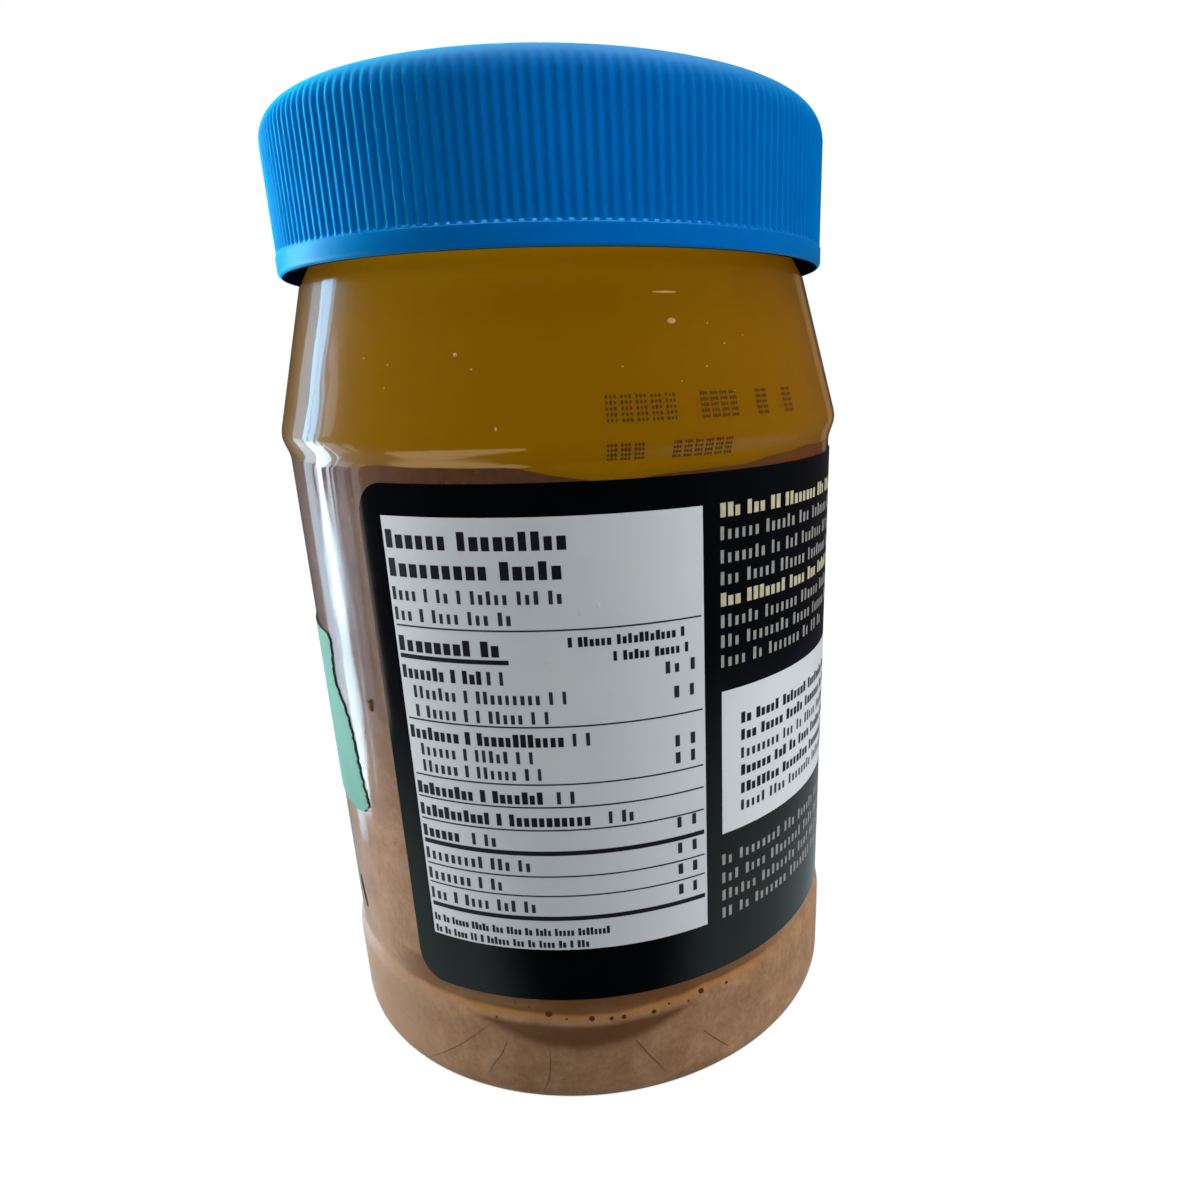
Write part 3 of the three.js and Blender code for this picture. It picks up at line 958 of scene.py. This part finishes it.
BUBBLES = [
    (-100.6, 20.0, 0.72), (-92.0, 19.1, 0.58), (-88.1, 18.8, 0.45), (-85.6, 18.8, 0.5), (-79.5, 18.7, 0.48),
    (-68.9, 19.8, 0.65), (-62.7, 19.4, 0.35), (-107.6, 21.4, 0.4), (-104.6, 20.9, 0.35), (-122.0, 21.3, 0.3),
    (-97.0, 19.2, 0.28), (-76.2, 19.4, 0.25), (-72.0, 18.9, 0.25), (-111.5, 18.6, 0.3),
]
CRACKS = [
    [(-113.3, 16.7), (-117.0, 13.6), (-122.2, 9.6), (-127.0, 6.4), (-132.0, 3.3)],
    [(-109.6, 14.2), (-111.0, 11.0), (-113.4, 8.0), (-114.6, 6.0)],
    [(-100.8, 12.3), (-101.0, 9.0), (-101.6, 6.0), (-103.0, 3.4)],
    [(-83.5, 13.8), (-80.6, 9.6), (-77.6, 5.8)],
    [(-68.7, 11.6), (-65.4, 8.2), (-62.6, 5.6)],
]


STAR = (-134.8, 72.6)
# Pale specks on the shell: degrees, height, half width and half height
SHELL_SPECKS = [
    (-101.0, 115.5, 0.16, 0.3), (-107.8, 125.0, 0.3, 0.3), (-105.0, 123.1, 0.18, 0.16),
    (-71.0, 132.3, 1.9, 0.17), (-70.4, 128.6, 0.65, 0.4), (-55.3, 126.7, 0.13, 0.13),
    (-60.1, 125.6, 0.15, 0.13), (-63.1, 128.3, 0.12, 0.12), (-64.7, 122.6, 0.12, 0.12),
    (-59.6, 119.2, 0.11, 0.11), (-80.1, 122.9, 0.13, 0.12), (-70.0, 120.8, 0.11, 0.11),
    (-126.4, 125.0, 0.16, 0.16), (-120.8, 124.0, 0.15, 0.15), (-121.3, 121.0, 0.13, 0.13),
]
# Pale specks on the white panel: degrees, height and half width
PANEL_SPECKS = [(-86.4, 90.8, 0.32), (-89.5, 89.6, 0.28), (-95.9, 82.5, 0.26)]


def inside_wall(degrees, height, depth):
    """A point in the wall, depth under its outside, also round the foot's corner."""
    if height >= CORNER_RADIUS:
        return around(wall_radius(height) - depth, degrees, height)
    lift = (CORNER_RADIUS - height) / CORNER_RADIUS
    reach = math.sqrt(max(0.0, 1 - lift * lift)) * CORNER_RADIUS
    return around(BEAD_RADIUS - CORNER_RADIUS + reach - depth, degrees, height)


def crack(points, width, outer=0.1, inner=0.3):
    """A thin dark ribbon along points of (degrees, height), narrow at its ends, between two depths."""
    smooth = []
    for (a0, z0), (a1, z1) in zip(points, points[1:]):
        smooth += [(a0 + (a1 - a0) * i / 6, z0 + (z1 - z0) * i / 6) for i in range(6)]
    smooth.append(points[-1])
    last = len(smooth) - 1
    vertices = []
    for i, (degrees, height) in enumerate(smooth):
        half = 0.5 * width * (0.25 + math.sin(math.pi * (i + 0.3) / (last + 0.6)))
        shift = arc_degrees(half)
        for side, depth in ((-1, outer), (1, outer), (1, inner), (-1, inner)):
            vertices.append(inside_wall(degrees + side * shift, height, depth))
    faces = [[0, 1, 2, 3], [4 * last + 3, 4 * last + 2, 4 * last + 1, 4 * last]]
    for i in range(last):
        a = 4 * i
        for k in range(4):
            m = (k + 1) % 4
            faces.append([a + k, a + 4 + k, a + 4 + m, a + m])
    return vertices, faces


def make_marks():
    parts = []
    for degrees, height, size in BUBBLES:
        here, along, up, out = shoulder_frame(degrees, height)
        parts.append(blob(here - out * 0.18, along, up, out, size, 0.85 * size, 0.11))
    vertices, faces = joined(parts)
    piece("dark_bubbles", vertices, faces, ink("bubble_dark", srgb(92, 44, 26), 0.3), "peanut_butter")
    vertices, faces = joined([crack(points, 0.17) for points in CRACKS])
    piece("paste_cracks", vertices, faces, ink("crack_dark", srgb(112, 84, 60), 0.6), "peanut_butter")
    stains = [crack([(-156.6, 32.6), (-155.6, 29.6), (-153.8, 26.8)], 1.3, -0.04, 0.1)]
    for turn, reach in ((75, 1.0), (150, 0.9), (265, 1.3), (20, 0.5)):
        angle = math.radians(turn)
        tip = (STAR[0] + arc_degrees(reach * math.cos(angle)), STAR[1] + reach * math.sin(angle))
        stains.append(crack([STAR, tip], 0.8, -0.04, 0.1))
    vertices, faces = joined(stains)
    piece("dark_stains", vertices, faces, ink("stain_dark", srgb(84, 54, 32), 0.8, 0.0), "jar")
    specks = []
    for degrees, height, width, rise in SHELL_SPECKS:
        here, along, up, out = shoulder_frame(degrees, height)
        specks.append(blob(here, along, up, out, width, rise, 0.05))
    vertices, faces = joined(specks)
    piece("pale_specks", vertices, faces, ink("speck_pale", srgb(214, 168, 100), 0.5), "jar")
    specks = []
    for degrees, height, size in PANEL_SPECKS:
        here = around(FILM_OUTER + PRINT_LIFT, degrees, height)
        specks.append(blob(here, around(1, degrees + 90, 0), Vector((0, 0, 1)), around(1, degrees, 0),
                           size, 1.4 * size, 0.04))
    vertices, faces = joined(specks)
    piece("panel_specks", vertices, faces, ink("speck_white", srgb(236, 236, 232), 0.4), "back_label")


# Stage, lights and camera

CAMERA_PLACE = (0.0, -168.76, 122.95)
CAMERA_YAW = -5.464
CAMERA_PITCH = -19.011
CAMERA_ROLL = 1.705
CAMERA_LENS = 26.098
CAMERA_SHIFT = (-0.04945, 0.05405)


def make_camera():
    data = bpy.data.cameras.new("camera")
    data.lens = CAMERA_LENS
    data.sensor_width = 36
    data.shift_x, data.shift_y = CAMERA_SHIFT
    data.clip_start = 0.01
    data.clip_end = 100
    camera = bpy.data.objects.new("camera", data)
    bpy.context.scene.collection.objects.link(camera)
    turn = Matrix.Rotation(math.radians(CAMERA_YAW), 4, "Z")
    turn = turn @ Matrix.Rotation(math.radians(CAMERA_PITCH), 4, "X")
    turn = turn @ Matrix.Rotation(math.radians(CAMERA_ROLL), 4, "Y")
    turn = turn @ Matrix.Rotation(math.radians(90), 4, "X")
    camera.matrix_world = Matrix.Translation(Vector(CAMERA_PLACE) * MM) @ turn
    bpy.context.scene.camera = camera


def panel_light(name, azimuth, elevation, distance, width, height, radiance, color, glossy=True, lit=None):
    """A flat light at a direction and distance in metres from the jar's middle. radiance is how bright
    its face looks, and lit is a collection that says which pieces it lights."""
    data = bpy.data.lights.new(name, "AREA")
    data.shape = "RECTANGLE"
    data.size = width
    data.size_y = height
    data.energy = radiance * math.pi * width * height
    data.color = color
    light = bpy.data.objects.new(name, data)
    bpy.context.scene.collection.objects.link(light)
    direction = Vector((
        math.cos(math.radians(elevation)) * math.cos(math.radians(azimuth)),
        math.cos(math.radians(elevation)) * math.sin(math.radians(azimuth)),
        math.sin(math.radians(elevation)),
    ))
    centre = Vector((0, 0, 0.08))
    light.location = centre + direction * distance
    light.rotation_mode = "QUATERNION"
    light.rotation_quaternion = direction.to_track_quat("Z", "Y")
    light.visible_camera = False
    light.visible_glossy = glossy
    light.visible_diffuse = not glossy
    light.visible_transmission = False
    if lit:
        light.light_linking.receiver_collection = lit
    return light


def linked(name, thing, state):
    """A collection that lets a light reach only one piece, or all but that piece."""
    group = bpy.data.collections.new(name)
    group.objects.link(thing)
    group.collection_objects[0].light_linking.link_state = state
    return group


# The window's panes: name, azimuth, elevation, width, height and radiance
WINDOW = [
    ("high_left", 160.2, 14, 0.05, 0.6, 3.5), ("high_middle", 155.4, 14, 0.11, 0.6, 8.0),
    ("high_right", 150.4, 14, 0.08, 0.6, 8.0),
    ("middle_left", 160.6, -7, 0.065, 0.3, 8.0), ("middle_middle", 155.2, -7, 0.09, 0.3, 7.5),
    ("middle_right", 151.0, -7, 0.07, 0.3, 5.0),
]

# Name, azimuth, elevation, radiance, colour, and which pieces the light reaches
SOFT_LIGHTS = [
    ("left_soft", 163, 10, 13.0, (1.0, 0.98, 0.95), "rest"),
    ("right_side", 0, 10, 7.6, (1.0, 0.98, 0.95), "rest"),
    ("right_soft", -25, 10, 1.3, (1.0, 0.98, 0.95), "rest"),
    ("front_left", -116, 15, 3.0, (1.0, 0.98, 0.95), "rest"),
    ("back_fill", 80, 25, 3.0, (1.0, 0.98, 0.95), "all"),
    ("top_soft", 90, 85, 5.0, (1.0, 0.98, 0.95), "all"),
    ("cap_left", 154, 10, 28.0, (0.8, 1.0, 0.88), "cap"),
    ("cap_right", -24, 10, 3.2, (0.7, 0.72, 1.0), "cap"),
    ("cap_front", -60, 10, 1.95, (0.9, 0.92, 1.0), "cap"),
    ("cap_low", -95, -20, 1.3, (1.0, 0.95, 0.9), "cap"),
]


def make_lights(cap, shell):
    groups = {
        "all": None,
        "cap": linked("cap_lit", cap, "INCLUDE"),
        "rest": linked("rest_lit", cap, "EXCLUDE"),
        "shell": linked("shell_lit", shell, "INCLUDE"),
    }
    cool = (0.53, 0.77, 1.0)
    blue = (0.32, 0.65, 1.0)
    bright = (0.6, 0.83, 1.0)
    warm = (1.0, 0.88, 0.78)
    for name, azimuth, elevation, width, height, radiance in WINDOW:
        panel_light("window_" + name, azimuth, elevation, 1.2, width, height, radiance,
                    blue if elevation > 0 else bright)
    taper = panel_light("window_taper", 154.0, -15, 1.2, 0.22, 0.52, 7.5, bright)
    taper.data.shape = "ELLIPSE"
    panel_light("window_side", 143.7, -14, 1.2, 0.18, 0.64, 2.6, cool)
    panel_light("window_far_side", 143.7, 15, 1.2, 0.18, 0.6, 1.2, cool)
    panel_light("window_line", 164.5, -14, 1.2, 0.03, 0.5, 6.0, cool)
    panel_light("side_glow", 166.5, 14, 1.2, 0.13, 0.22, 1.3, (0.95, 0.92, 1.0))
    panel_light("low_glow", 170.5, -12, 1.2, 0.14, 0.4, 1.5, cool)
    panel_light("low_streak", 179, -12, 1.2, 0.1, 0.4, 1.6, warm)
    panel_light("cap_top", 0, 88, 1.0, 1.2, 1.2, 24.0, cool, True, groups["cap"])
    panel_light("right_edge", 52, 8, 1.2, 0.22, 1.0, 0.32, (1.0, 0.62, 0.32), True, groups["shell"])
    ridge = panel_light("ridge_glow", -137, -30, 1.2, 1.3, 0.3, 2.8, (1.0, 0.75, 0.45), True, groups["shell"])
    ridge.data.shape = "ELLIPSE"
    for name, azimuth, elevation, radiance, color, lit in SOFT_LIGHTS:
        panel_light(name, azimuth, elevation, 1.2, 0.6, 0.9, radiance, color, False, groups[lit])


def make_world():
    """White where the camera looks at it, an even pale room for the light, and for reflections a dark
    front, a grey floor to the left and right, and a dim room behind."""
    world = bpy.data.worlds.new("studio")
    bpy.context.scene.world = world
    t = Tree.__new__(Tree)
    t.start(world)
    path = t.add("ShaderNodeLightPath")
    parts = t.add("ShaderNodeSeparateXYZ", {0: t.add("ShaderNodeTexCoord").outputs["Generated"]})
    beside = t.mask(parts.outputs["Y"], -0.74, -0.42)
    below = t.mask(parts.outputs["Z"], -0.28, -0.56)
    mirrored = t.mix(below, (0.04, 0.036, 0.045, 1), (0.34, 0.41, 0.42, 1))
    mirrored = t.mix(beside, (0.003, 0.004, 0.006, 1), mirrored)
    white = t.add("ShaderNodeBackground", {"Color": (1, 1, 1, 1)})
    room = t.add("ShaderNodeBackground", {"Color": (0.9, 0.95, 1, 1), "Strength": 0.1})
    mirror = t.add("ShaderNodeBackground", {"Color": mirrored})
    first = t.add("ShaderNodeMixShader", {
        0: path.outputs["Is Glossy Ray"], 1: room.outputs[0], 2: mirror.outputs[0],
    })
    second = t.add("ShaderNodeMixShader", {
        0: path.outputs["Is Camera Ray"], 1: first.outputs[0], 2: white.outputs[0],
    })
    t.add("ShaderNodeOutputWorld", {"Surface": second.outputs[0]})


def make_floor():
    t = Tree("pale_floor")
    glow = t.add("ShaderNodeEmission", {"Color": (1, 1, 1, 1), "Strength": 1.0})
    plain = t.add("ShaderNodeBsdfDiffuse", {"Color": (0.05, 0.05, 0.05, 1)})
    both = t.add("ShaderNodeAddShader", {0: glow.outputs[0], 1: plain.outputs[0]})
    t.tree.links.new(both.outputs[0], t.output.inputs["Surface"])
    vertices, faces = turned([(0, 0), (400, 0), (40000, 0)], 96)
    mesh = bpy.data.meshes.new("floor")
    mesh.from_pydata([Vector(v) * MM for v in vertices], [], faces)
    mesh.materials.append(t.material)
    floor = bpy.data.objects.new("floor", mesh)
    bpy.context.scene.collection.objects.link(floor)
    floor.visible_glossy = False
    floor.visible_diffuse = False
    floor.visible_shadow = False


make_camera()
make_world()
make_floor()
bpy.context.scene.view_settings.view_transform = "Standard"

shell = make_jar()
make_paste()
make_oil()
make_lights(make_cap(), shell)
make_back_label()
make_front_label()
make_date_marks()
make_marks()
